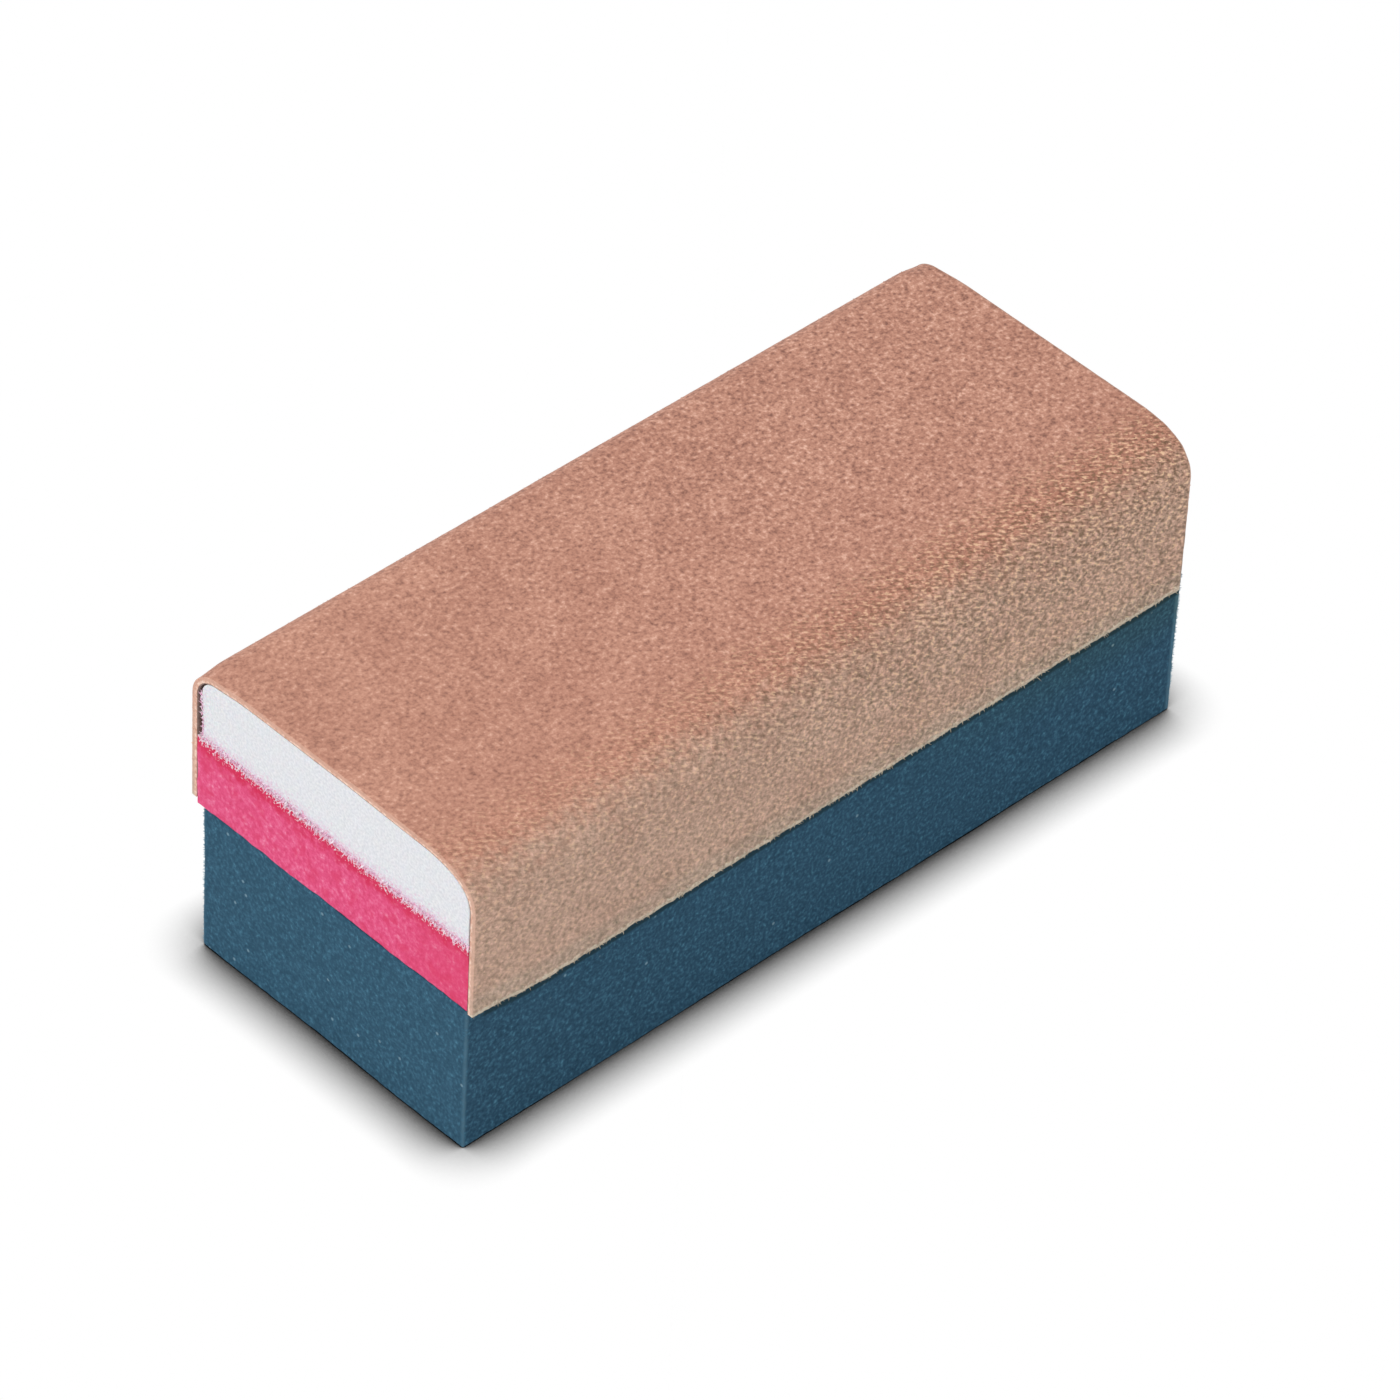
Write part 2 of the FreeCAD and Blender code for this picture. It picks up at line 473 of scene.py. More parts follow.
def bell(value, middle, width):
    """1 at the middle, fading to nothing about two widths away."""
    return math.exp(-(((value - middle) / width) ** 2))


def crowned(x, y):
    """How much the top stands up at a place."""
    at_end = 1 - rise(min(x - near_end, far_end - x), 0.0, CORNER_REACH)
    far_corner = at_end * rise(y, cushion_hi.y - CORNER_INWARD, cushion_hi.y)
    towards_near_end = 1 - rise(x, near_end, near_end + NEAR_END_REACH)
    middle = rise(y, cushion_lo.y + CROWN_START, cushion_lo.y + CROWN_FULL)
    slope = 1 - rise(y, cushion_lo.y + CROWN_FULL, 0.0)
    falling = 1 - (1 - CROWN_LEFT) * towards_near_end * slope
    sag = SHOULDER_SAG * towards_near_end * bell(y, cushion_lo.y + SAG_MIDDLE, SAG_WIDTH)
    return CROWN * middle * falling * (1 - CORNER_LOSS * far_corner) - sag


def settled(point):
    """Where a point of the soft half comes to rest."""
    x, y, z = point
    lean = LEAN_IN * rise(x, near_end, far_end) * rise(z, base_hi.z, pad_hi.z) * rise(y, 0.0, cushion_lo.y)
    crown = crowned(x, y) * rise(z, pad_hi.z, cushion_hi.z)
    dip = SEAM_DIP * bell(z, pad_hi.z, SEAM_REACH) * rise(y, cushion_hi.y, cushion_lo.y + SEAM_DIP_FULL)
    sawn_in = OUT_OF_SQUARE * rise(x, 0.0, far_end) * rise(z, pad_hi.z, base_hi.z)
    return Vector((x - sawn_in, y + lean, z + crown - dip))


def sawn(point):
    """How far the saw wandered at a point.  One cut went through all the soft pieces."""
    return wander(point, size=5 * MM, amount=0.06 * MM, seed=11)


# %% [markdown]
# ## The firm base
#
# The base is closed-cell EVA foam, dyed dark blue. It is sawn with a fine blade, which leaves a dull face
# of cut cells. The walls between the cells catch the light as paler specks, and a few larger voids are cut
# open. The ends are cut again and show less contrast, and the long sides are painted darker, as shade. The
# upright edges are rubbed pale by handling and carry a painted highlight, and a painted shadow lies under
# the sheet's lip. The cells could be real holes, but at this size noise and bump look the same.

# %% Where the base is worn, and where highlight and shade are painted on it
EVA_CELL = 0.3  # millimetres across: drawn a little coarser than the real cells, so that they show
VOID_SPACING = 2.2 * EVA_CELL
VOID_SHARE = 0.02  # of the cells that are open voids
EDGE_WEAR_AND_HIGHLIGHT = 0.3  # how far in the rubbed and highlighted edges reach, in millimetres
WEAR_AND_HIGHLIGHT_WAVER = 0.5  # and how unevenly
LIP_SHADOW_SOLID, LIP_SHADOW_END = 1.05, 1.35  # millimetres below the near lip: where the painted shadow fades, and ends
LIP_SHADE_FULL, LIP_SHADE_END = 1.5, 6.0  # the same for a softer, greener painted shade there


def upright_edges(tree):
    """1 at the block's upright edges and 0 away from them."""
    x, y, _ = axes(tree)
    from_end = maths(tree, "SUBTRACT", far_end / MM, maths(tree, "ABSOLUTE", x))
    from_side = maths(tree, "SUBTRACT", base_hi.y / MM, maths(tree, "ABSOLUTE", y))
    farthest = maths(tree, "MAXIMUM", from_end, from_side)
    wavering = strayed(tree, farthest, grain(tree, 0.3), WEAR_AND_HIGHLIGHT_WAVER)
    return between(tree, wavering, EDGE_WEAR_AND_HIGHLIGHT + WEAR_AND_HIGHLIGHT_WAVER / 2, WEAR_AND_HIGHLIGHT_WAVER / 2)


def above_near_lip(tree, x, z):
    """How many millimetres above the sheet's near lip, which stands higher at the near corner."""
    at_corner = between(tree, x, (near_end + CORNER_RUN) / MM, near_end / MM)
    lip = maths(tree, "MULTIPLY_ADD", at_corner, CORNER_LIFT / MM, NEAR_LIP / MM)
    return maths(tree, "SUBTRACT", z, lip)


def painted_shade_under_lip(tree, tone, x, y, z):
    """Painted shadow just under the near lip, and a softer, greener painted shade below it towards the far
    end.
    """
    above_lip = above_near_lip(tree, x, z)
    lip_shadow = between(tree, above_lip, -LIP_SHADOW_END, -LIP_SHADOW_SOLID)
    near_side = between(tree, y, base_lo.y / MM + 1.0, base_lo.y / MM + 0.2)
    inward = between(tree, x, near_end / MM + 0.5, near_end / MM + 2.0)
    # painted shadow just under the near lip
    tone = tint(tree, tone, "14303a", lip_shadow, near_side, inward, 0.9)
    soft_lip_shade = between(tree, above_lip, -LIP_SHADE_END, -LIP_SHADE_FULL)
    # a softer, greener painted shade lower on the near side, growing towards the far end
    return tint(tree, tone, "fff9e9", soft_lip_shade, between(tree, x, 0.0, far_end / MM), mode="MULTIPLY")


# %% Base foam material
def open_voids(tree, tone):
    """A pale spot in a few cells of a Voronoi pattern."""
    inputs = {"Vector": millimetres(tree), "Scale": 1 / VOID_SPACING, "Randomness": 1.0}
    voids = add(tree, "ShaderNodeTexVoronoi", inputs).outputs
    chance = add(tree, "ShaderNodeSeparateColor", {0: voids["Color"]}).outputs[0]
    lucky = maths(tree, "GREATER_THAN", chance, 1 - VOID_SHARE)
    return tint(tree, tone, "93b4c3", lucky, between(tree, voids["Distance"], 0.28, 0.1), 0.5)


def eva_foam():
    material, tree, shader = new_material("EVA_foam_sawn", roughness=0.85, specular=0.15)
    cells = grain(tree, EVA_CELL, detail=3.0, rough=0.6)
    tone = ramp(tree, cells, [(0.3, "22475c"), (0.5, "32586f"), (0.61, "3f6c85"), (0.73, "558ea6")])
    x, y, z = axes(tree)
    inside = maths(tree, "SUBTRACT", far_end / MM, maths(tree, "ABSOLUTE", x))
    # the long sides are painted darker than the ends, as shade, and the ends keep less contrast
    flat_ends, shaded_sides = blend(tree, 0.38, tone, "33596f"), blend(tree, 0.3, tone, "14334b")
    tone = blend(tree, between(tree, inside, 0.05, 0.3), flat_ends, shaded_sides)
    tone = open_voids(tree, tone)
    # upright edges rubbed pale by handling, with a painted highlight along them
    tone = tint(tree, tone, "7ba3b5", upright_edges(tree), 0.22)
    clouds = ramp(tree, grain(tree, 0.9, detail=3.0, rough=0.6), [(0.35, "eef1f2"), (0.6, "ffffff")])
    tone = blend(tree, 1.0, tone, clouds, "MULTIPLY")
    # the painted shade under the lip is laid on last
    finish(tree, shader, painted_shade_under_lip(tree, tone, x, y, z), cells, depth_mm=0.1, strength=0.3)
    return material


# %% Make the base
BASE_EDGE = 0.16 * MM
BASE_EXTRA = 0.25 * MM  # the base is cut this much long at the far end


def base_point(point):
    """Softens the edges and lets the faces wander, in long waves and in fine ones."""
    point = soften(point, base_lo, base_hi, BASE_EDGE)
    long_wave = wander(point, size=9 * MM, amount=0.10 * MM, seed=3)
    point = point + long_wave + wander(point, size=0.9 * MM, amount=0.035 * MM, seed=5)
    point.z = max(point.z, 0.0)
    point.x += BASE_EXTRA * rise(point.x, 0.0, far_end)
    return point


foam_piece("eva_base", "base_block", "base_foam", 0.45 * MM, base_point, eva_foam())

# %% [markdown]
# ## The middle pad
#
# The middle pad is a denser pink foam. Glue has soaked into the top of it, which shows as a crimson band,
# and torn fibres of the cushion stick to that glue, so the seam is a speckle and not a line. A pattern on
# plain coordinates would leave the seam where it dips, so each point remembers its height as it was cut,
# and the patterns read that.

# %% Pad foam material
SOAKED = 3.2  # how unevenly the glue soaked down, in millimetres of noise
FIBRES = 4.0  # and how far the torn fibres stray
NEAR_TONE = -3.0  # the Y in millimetres from which the pad darkens towards its near side


def height_as_cut(tree):
    return add(tree, "ShaderNodeAttribute", attribute_name=AS_CUT).outputs["Fac"]


def pad_foam():
    material, tree, shader = new_material("pink_foam_sawn", roughness=0.8, specular=0.2)
    cells = grain(tree, 0.4, detail=3.0, rough=0.6)
    tone = ramp(tree, cells, [(0.28, "d8436f"), (0.5, "e65585"), (0.62, "ea6a94"), (0.78, "f79ab8")])
    blotches = between(tree, grain(tree, 1.4, detail=3.0, rough=0.6), 0.5, 0.66)
    tone = tint(tree, tone, "dc3a66", blotches, 0.55)
    below = maths(tree, "SUBTRACT", pad_hi.z / MM, height_as_cut(tree))
    edge = strayed(tree, below, grain(tree, 0.9, detail=4.0, rough=0.65), -SOAKED)
    tone = tint(tree, tone, "d52a54", between(tree, edge, 0.25, -0.9), 0.9)
    _, y, _ = axes(tree)
    tone = tint(tree, tone, "dc3a62", between(tree, y, NEAR_TONE, pad_lo.y / MM), 0.42)
    fibre = strayed(tree, below, grain(tree, 0.2), -FIBRES)
    tone = tint(tree, tone, "ecd5e0", between(tree, fibre, -1.55, -2.2))
    finish(tree, shader, tone, cells, depth_mm=0.12, strength=0.5)
    return material


# %% Make the pad
SOFT_EDGE = 0.05 * MM


def pad_point(point):
    point = soften(point, pad_lo, pad_hi, SOFT_EDGE)
    return settled(point + sawn(point) + wander(point, size=0.8 * MM, amount=0.07 * MM, seed=13))


pad = foam_piece("pink_pad", "middle_pad", "pad_foam", 0.5 * MM, pad_point, pad_foam())

# %% [markdown]
# ## The soft cushion
#
# The cushion is a soft white foam with cells too fine to tell apart, so its face is almost even. Its two
# long upper edges are round, the near one more than the far one. A Bevel modifier would round them and
# spoil the lattice, so a short function bends each point near an upper edge round that edge.

# %% Cushion foam material
CUSHION_CELL = 0.22  # millimetres: drawn coarser than the real cells, so that the face isn't quite flat


def cushion_foam():
    material, tree, shader = new_material("white_polyether_foam", roughness=0.9, specular=0.1)
    cells = grain(tree, CUSHION_CELL)
    tone = ramp(tree, cells, [(0.3, "dbdde2"), (0.7, "eeeff2")])
    _, y, _ = axes(tree)
    # a lilac tint along the seam and the far side: pink bled up from the pad at the seam, and painted shade
    # by the dark gap at the far side
    above = maths(tree, "SUBTRACT", height_as_cut(tree), cushion_lo.z / MM)
    from_side = maths(tree, "SUBTRACT", cushion_hi.y / MM + 0.7, y)
    edge = strayed(tree, maths(tree, "MINIMUM", above, from_side), grain(tree, 0.24), -4.0)
    tone = tint(tree, tone, "e3c6da", between(tree, edge, -0.9, -2.0), 0.6)
    speck = strayed(tree, above, grain(tree, 0.16), -3.0)
    tone = tint(tree, tone, "e28bb0", between(tree, speck, -1.25, -1.6), 0.7)
    shader.inputs["Subsurface Weight"].default_value = 0.15
    shader.inputs["Subsurface Scale"].default_value = 0.4 * MM
    finish(tree, shader, tone, cells, depth_mm=0.06, strength=0.4)
    return material


# %% Make the cushion
TIGHT_SHOULDER = 1.3 * MM  # the swollen foam fills the fold's far corner
SWELL = 0.2 * MM  # how much wider the cushion is there, on its far side
SWELL_EASE = 0.5 * MM  # the swelling starts and ends this far from the foam's two faces


def shoulder(point, side, top, radius):
    """Bends a point of the square cushion round a long upper edge, whose side face is at a Y."""
    sign = 1 if side > 0 else -1
    out = max(0.0, sign * (point.y - side) + radius)
    up = max(0.0, point.z - top + radius)
    if out == 0 or up == 0:
        return point
    scale = max(out, up) / math.hypot(out, up)
    return Vector((point.x, side + sign * (out * scale - radius), top - radius + up * scale))


def swell(z):
    return SWELL * rise(z, cushion_lo.z + SWELL_EASE, cushion_hi.z - SWELL_EASE)


def cushion_point(point):
    point = soften(point, cushion_lo, cushion_hi, SOFT_EDGE)
    point = shoulder(point, cushion_lo.y, cushion_hi.z, NEAR_SHOULDER)
    point = shoulder(point, cushion_hi.y, cushion_hi.z, TIGHT_SHOULDER)
    point.y += swell(point.z) * rise(point.y, 0.0, cushion_hi.y - TIGHT_SHOULDER)
    return settled(point + sawn(point) + wander(point, size=0.5 * MM, amount=0.03 * MM, seed=19))


cushion = foam_piece(
    "white_cushion", "soft_cushion", "cushion_foam", 0.45 * MM, cushion_point, cushion_foam()
)

# %% [markdown]
# ## The two glue films
#
# Contact adhesive is brushed on both foams and dries to a film a tenth of a millimetre thick. The lower
# film stops short of the edges, which leaves a thin dark line between the foams. The upper one was squeezed
# out to the edge and sawn with it. A painted line would do from afar, but a real gap takes its own shadow.

# %% Make the glue films
FILM_STEP = 1 * MM


def dried_glue(name, dark, light):
    material, tree, shader = new_material(name, roughness=0.5, specular=0.4)
    tone = ramp(tree, grain(tree, 0.4), [(0.3, dark), (0.7, light)])
    finish(tree, shader, tone, grain(tree, 0.2), depth_mm=0.03, strength=0.3)
    return material


def glue_film(name, node, inset, material):
    """A film of glue between two foams, set back from their edges."""
    low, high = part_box(node)
    back = Vector((inset, inset, 0.0))
    points, faces = lattice(low + back, high - back, FILM_STEP)
    film = finished(name, [settled(p + sawn(p)) for p in points], faces, material)
    return dress(film, "glue", node)


blue_glue = dried_glue("contact_adhesive_blue", "2f4a5e", "44657c")
glue_film("base_glue_film", "base_glue_line", 0.2 * MM, blue_glue)
pink_glue = dried_glue("contact_adhesive_pink", "d9668c", "ecb4cb")
glue_film("cushion_glue_film", "cushion_glue_line", 0.0, pink_glue)

# %% [markdown]
# ## The folded sheet
#
# The abrasive is paper, a coat of resin, and grit set in the resin, folded over the cushion from lip to
# lip. A bent plane with a Solidify modifier for each layer could make it, but the layers would drift apart
# at the bends. Here the same fold line, at different depths outside the foam, gives the glue, the paper and
# the coat, so they always lie on each other. A knife left the lips a little ragged, and bending raised
# wrinkles along the near shoulder.

# %% The fold line
to_backing = cushion_lo.y - adhesive_lo.y  # depths outside the foam
to_coat = cushion_lo.y - backing_lo.y
to_outside = cushion_lo.y - coat_lo.y

SHEET_STEP = 0.3 * MM


def fold_line(depth):
    """Places (y, z) and outward directions along the folded sheet, a depth outside the foam, near lip first.

    The number of steps on each leg is worked out at the foam itself, so it is the same at every depth.
    """
    near, far, top = cushion_lo.y - depth, pad_hi.y + depth, cushion_hi.z + depth
    near_r, far_r = NEAR_SHOULDER + depth, FAR_SHOULDER + depth
    line = []

    def steps(length):
        return max(1, round(length / SHEET_STEP))

    def straight(start, end, out, length):
        count = steps(length)
        for i in range(count):
            t = i / count
            line.append((start[0] + (end[0] - start[0]) * t, start[1] + (end[1] - start[1]) * t, *out))

    def quarter(y, z, radius, start, length):
        count = steps(length)
        for i in range(count):
            angle = math.radians(start - 90 * i / count)
            out = (math.cos(angle), math.sin(angle))
            line.append((y + radius * out[0], z + radius * out[1], *out))

    near_flank = cushion_hi.z - NEAR_SHOULDER - NEAR_LIP
    far_flank = cushion_hi.z - FAR_SHOULDER - FAR_LIP
    width = pad_hi.y - cushion_lo.y - NEAR_SHOULDER - FAR_SHOULDER
    bend = math.pi / 2 * (1 + to_outside / FAR_SHOULDER)
    straight((near, NEAR_LIP), (near, top - near_r), (-1, 0), near_flank)
    quarter(near + near_r, top - near_r, near_r, 180, NEAR_SHOULDER * bend)
    straight((near + near_r, top), (far - far_r, top), (0, 1), width)
    quarter(far - far_r, top - far_r, far_r, 90, FAR_SHOULDER * bend)
    straight((far, top - far_r), (far, FAR_LIP), (1, 0), far_flank)
    line.append((far, FAR_LIP, 1, 0))
    return line


middle = [Vector(place[:2]) for place in fold_line((to_backing + to_coat) / 2)]

# %% Wrinkles and ragged lips
WRINKLE = 0.05 * MM  # height of the coat's wrinkles where they are strongest
WRINKLE_LEAST = 0.25  # how much of that is left where the sheet is flat
WRINKLE_LONG, WRINKLE_WIDE = 1.2, 0.7  # millimetres along the block and across it
WRINKLED_MIDDLE, WRINKLED_WIDTH = 2 * MM, 5 * MM  # in from the near flank, and each way from there
LIP_RAG = 0.12 * MM
LIP_FELT = 3 * MM  # up to this far above a lip, the sheet follows its shape


def wrinkle(x, y, z):
    """How much the coat stands up at a point: fine everywhere, stronger over the near shoulder's far end."""
    along = min(max((x - near_end) / (far_end - near_end), 0), 1)
    across = bell(y, coat_lo.y + WRINKLED_MIDDLE, WRINKLED_WIDTH)
    strength = WRINKLE_LEAST + (1 - WRINKLE_LEAST) * across * along**1.5
    place = Vector((x / WRINKLE_LONG, y / WRINKLE_WIDE, z / WRINKLE_WIDE)) / MM
    return WRINKLE * strength * noise.noise(place)


def ragged(x, seed):
    """How far a knife cut strays up or down, in two sizes of tooth."""
    place = Vector((x / MM, seed, 0))
    return LIP_RAG * (noise.noise(place / 0.9) + 0.8 * noise.noise(place / 0.37))


def near_lip(x):
    """The height of the near lip: it is a little ragged, and higher at the near corner."""
    return NEAR_LIP + CORNER_LIFT * rise(x, near_end + CORNER_RUN, near_end) + ragged(x, 3)


def far_lip(x):
    return FAR_LIP + ragged(x, 8)


def lip_shift(x, y, z, inset):
    """How far a point of the sheet moves up or down with the lip below it."""
    lip, cut = (NEAR_LIP, near_lip(x)) if y < 0 else (FAR_LIP, far_lip(x))
    return (cut - lip + inset) * (1 - rise(z, lip, lip + LIP_FELT))


# %% A closed sheet between two depths
OUTSIDE = "outside"  # an attribute: marks the sheet's outer faces, for the grit


def sheet_faces(lengths, count):
    """The outer faces, inner faces and rims of a sheet: steps along the block, and points across it."""
    size = (lengths + 1) * count
    outer, inner, rims = [], [], []
    for i in range(lengths):
        for j in range(count - 1):
            a, b = i * count + j, (i + 1) * count + j
            outer.append((size + a, size + b, size + b + 1, size + a + 1))
            inner.append((a, a + 1, b + 1, b))
        for j in (0, count - 1):
            a, b = i * count + j, (i + 1) * count + j
            rim = (a, b, size + b, size + a)
            rims.append(rim if j == 0 else rim[::-1])
    for i in (0, lengths):
        for j in range(count - 1):
            a = i * count + j
            rim = (a, size + a, size + a + 1, a + 1)
            rims.append(rim if i == 0 else rim[::-1])
    return outer, inner, rims


def folded(name, inside, outside, material, wrinkled=False, inset=0.0):
    """A layer of the sheet over the block's length, less an inset at each end."""
    start, end = near_end + inset, far_end - inset
    lengths = round((end - start) / SHEET_STEP)
    points = []
    for depth in (inside, outside):
        line = fold_line(depth)
        for x in evenly(start, end, lengths):
            for y, z, out_y, out_z in line:
                lift = wrinkle(x, y, z) if wrinkled and depth == outside else 0.0
                z += lip_shift(x, y, z, inset)
                points.append(settled(Vector((x, y + out_y * lift, z + out_z * lift))))
    outer, inner, rims = sheet_faces(lengths, len(line))
    made = finished(name, points, outer + inner + rims, material)
    flags = made.data.attributes.new(OUTSIDE, "BOOLEAN", "FACE")
    flags.data.foreach_set("value", [True] * len(outer) + [False] * len(inner + rims))
    made.data.polygons.foreach_set("use_smooth", [True] * len(outer + inner) + [False] * len(rims))
    return made


# %% [markdown]
# ## Paper and coat
#
# The paper is a latex paper with a pale cut edge. The coat is aluminium-oxide grit in a terracotta resin,
# copper pink on the top, with a greyer khaki painted on towards the flanks as a sheen. Grit and resin clump
# at about a third of a millimetre, which is the mottle that the eye sees, with a coarser cloudiness under
# it. Creases run slantwise over the near shoulder, most of all towards the far end, with painted shade in
# their furrows and painted highlights on their ridges. An image of sandpaper could be laid on, but noise
# can follow creases and cuts.

# %% Paper material
FINE_GRAIN = 0.15  # millimetres


def paper():
    material, tree, shader = new_material("latex_paper_cut", roughness=0.75, specular=0.25)
    tone = ramp(tree, grain(tree, 0.3, detail=3.0), [(0.3, "d09c86"), (0.5, "e8bda8"), (0.7, "f8dccb")])
    finish(tree, shader, tone, grain(tree, FINE_GRAIN), depth_mm=0.03, strength=0.4)
    return material


# %% Creases over the near shoulder
CREASE = 0.26  # how wide a crease and its gap are, in millimetres
CREASE_STRETCH = 2.3  # how many times as long as wide a crease is
CREASE_SLANT = math.atan(-0.7)  # they run slantwise, down the near flank towards the far end
CREASED_IN, CREASED_OUT = 2.0, 8.0  # millimetres in from the near flank: where they fade, and end
CREASED_HIGH, CREASED_LOW = 4.0, 9.0  # millimetres down from the top: where they fade, and are weakest
CREASED_LEAST = 0.7  # how much of them is left there
NEAR_CREASED, FAR_CREASED = 0.3, 0.75  # their strength at the near end and at the far end


def near_fold(tree, x, y, z):
    """How creased the coat is: most on the near shoulder and towards the far end, not at all on the top."""
    over_top = between(tree, y, coat_lo.y / MM + CREASED_OUT, coat_lo.y / MM + CREASED_IN)
    up_flank = between(tree, z, coat_hi.z / MM - CREASED_LOW, coat_hi.z / MM - CREASED_HIGH)
    along = ranging(tree, between(tree, x, near_end / MM, far_end / MM), NEAR_CREASED, FAR_CREASED)
    return product(tree, over_top, ranging(tree, up_flank, CREASED_LEAST), along)


def creases(tree, x, y, z):
    """Noise drawn out along the creases, on the sheet laid flat, where y + z grows up the flank and over."""
    flat = add(tree, "ShaderNodeCombineXYZ", {0: x, 1: maths(tree, "ADD", y, z)}).outputs[0]
    inputs = {"Vector": flat, "Rotation": (0.0, 0.0, CREASE_SLANT), "Scale": (CREASE_STRETCH, 1.0, 1.0)}
    place = add(tree, "ShaderNodeMapping", inputs, vector_type="TEXTURE").outputs[0]
    inputs = {"Vector": place, "Scale": 1 / CREASE, "Detail": 2.0, "Roughness": 0.55}
    return add(tree, "ShaderNodeTexNoise", inputs, noise_dimensions="2D").outputs[0]


def crease_shade_and_highlight(tree, tone, crease, creased):
    """Painted shade in the furrows and painted highlights on the ridges, over a slightly darker creased
    band.
    """
    # a slightly darker creased band, then painted shade in the furrows and painted highlights on the ridges
    tone = tint(tree, tone, "f8f0ea", creased, mode="MULTIPLY")
    tone = tint(tree, tone, "6c5438", creased, between(tree, crease, 0.49, 0.35))
    return tint(tree, tone, "f8d0a8", creased, between(tree, crease, 0.58, 0.68))


# %% Copper top, and khaki flanks painted as a sheen
GRIT = 0.33  # millimetres: the size of a clump of grit, coarser than one grain so that it shows
STRAY = 4.5  # how far the two colours stray into each other, in millimetres of noise


def resin_tone(tree, mottle, y, z):
    """Warm copper on the top, a greyer khaki painted on the flanks as a sheen, and a cloudiness over both.
    """
    warm = ramp(tree, mottle, [(0.27, "875a4b"), (0.47, "bb8570"), (0.58, "cb957f"), (0.73, "ecbca6")])
    khaki = ramp(tree, mottle, [(0.27, "7d6c59"), (0.47, "ba9b88"), (0.58, "cdaa97"), (0.73, "f2cab5")])
    stray = maths(tree, "MULTIPLY_ADD", grain(tree, 0.8, detail=4.0, rough=0.7), STRAY, -STRAY / 2)
    strayed_y, strayed_z = maths(tree, "ADD", y, stray), maths(tree, "ADD", z, stray)
    near_side = between(tree, strayed_y, coat_lo.y / MM + 3.2, coat_lo.y / MM - 0.4)
    low_down = between(tree, strayed_z, coat_hi.z / MM - 1.5, coat_hi.z / MM - 5.0)
    # the khaki on the flanks and low down is painted sheen
    tone = blend(tree, maths(tree, "MAXIMUM", near_side, low_down), warm, khaki)
    clouds = ramp(tree, grain(tree, 5.0, detail=3.0), [(0.35, "f5f1f0"), (0.65, "ffffff")])
    return blend(tree, 1.0, tone, clouds, "MULTIPLY")


# %% Pale cuts at the ends and lips
RIM = 0.1  # how far the pale cut edge reaches in from an end, in millimetres


def cut_edges(tree, tone, x, y, z):
    """Paper that shows along the two ends, and the greyer coat and loose fibres along the two lips."""
    inside = maths(tree, "SUBTRACT", far_end / MM, maths(tree, "ABSOLUTE", x))
    rim = strayed(tree, inside, grain(tree, 0.3), 0.1)
    tone = tint(tree, tone, "e6b8a2", between(tree, rim, RIM + 0.08, 0.06), 0.6)
    sides = {
        0: maths(tree, "GREATER_THAN", y, 0.0),
        2: above_near_lip(tree, x, z),
        3: maths(tree, "SUBTRACT", z, FAR_LIP / MM),
    }
    above_lip = add(tree, "ShaderNodeMix", sides).outputs[0]
    tone = tint(tree, tone, "f3fdff", between(tree, above_lip, 2.4, 1.2), mode="MULTIPLY")
    uneven = strayed(tree, above_lip, grain(tree, 0.5, detail=3.0), 0.8)
    tone = tint(tree, tone, "c4b8a0", between(tree, uneven, 0.85, 0.45), 0.5)
    fluff = strayed(tree, above_lip, grain(tree, 0.2), -1.6)
    return tint(tree, tone, "e6dcc6", between(tree, fluff, -0.45, -0.75), 0.55)


# %% Coat material
def grit_in_resin(name, lighter):
    """The coat's finish.  lighter is how much paler a grain is than the resin round it."""
    material, tree, shader = new_material(name, roughness=0.6, specular=0.35)
    x, y, z = axes(tree)
    contrast = ranging(tree, between(tree, x, near_end / MM, far_end / MM / 2), 0.7)
    clumps = maths(tree, "SUBTRACT", grain(tree, GRIT, detail=2.5, rough=0.55), 0.5)
    mottle = maths(tree, "MULTIPLY_ADD", clumps, contrast, 0.5)
    crease, creased = creases(tree, x, y, z), near_fold(tree, x, y, z)
    tone = crease_shade_and_highlight(tree, resin_tone(tree, mottle, y, z), crease, creased)
    tone = blend(tree, lighter, tone, "f0d9c8")
    tone = cut_edges(tree, tone, x, y, z)
    height = maths(tree, "ADD", mottle, product(tree, crease, creased))
    finish(tree, shader, tone, height, depth_mm=0.16, strength=0.6)
    return material


# %% Make the sheet
# the sheet's glue film is drawn dark brown: the glue, and painted shade of the thin gap at the sheet's cut
# edges
glue_and_gap_shade = dried_glue("acrylic_adhesive_and_gap_shade", "6e5750", "8f756d")
film = folded("sheet_glue_film", 0.0, to_backing, glue_and_gap_shade, inset=0.05 * MM)
dress(film, "sheet_adhesive", "sheet_adhesive")
backing = folded("paper_backing", to_backing, to_coat, paper())
dress(backing, "sheet_backing", "sheet_backing")
resin = grit_in_resin("aluminium_oxide_in_resin", 0.0)
coat = folded("abrasive_skin", to_coat, to_outside, resin, wrinkled=True)
dress(coat, "grit_coat", "abrasive_coat")

# %% [markdown]
# ## A Geometry Nodes tree and how it is applied
#
# Grit and torn foam are hundreds of small shapes over a surface or along an edge. A loop could place them,
# but Geometry Nodes are faster, and work from named inputs and a fixed seed. The helpers make a tree, draw
# random values, put a shape on every point, and turn an object with a tree on it into a plain mesh. Each
# input is set by its socket's identifier first, and the copies are made real, because an export drops
# instances.

# %% Geometry Nodes helpers
FLOAT, WHOLE = "NodeSocketFloat", "NodeSocketInt"
DIRECTION, MATERIAL = "NodeSocketVector", "NodeSocketMaterial"


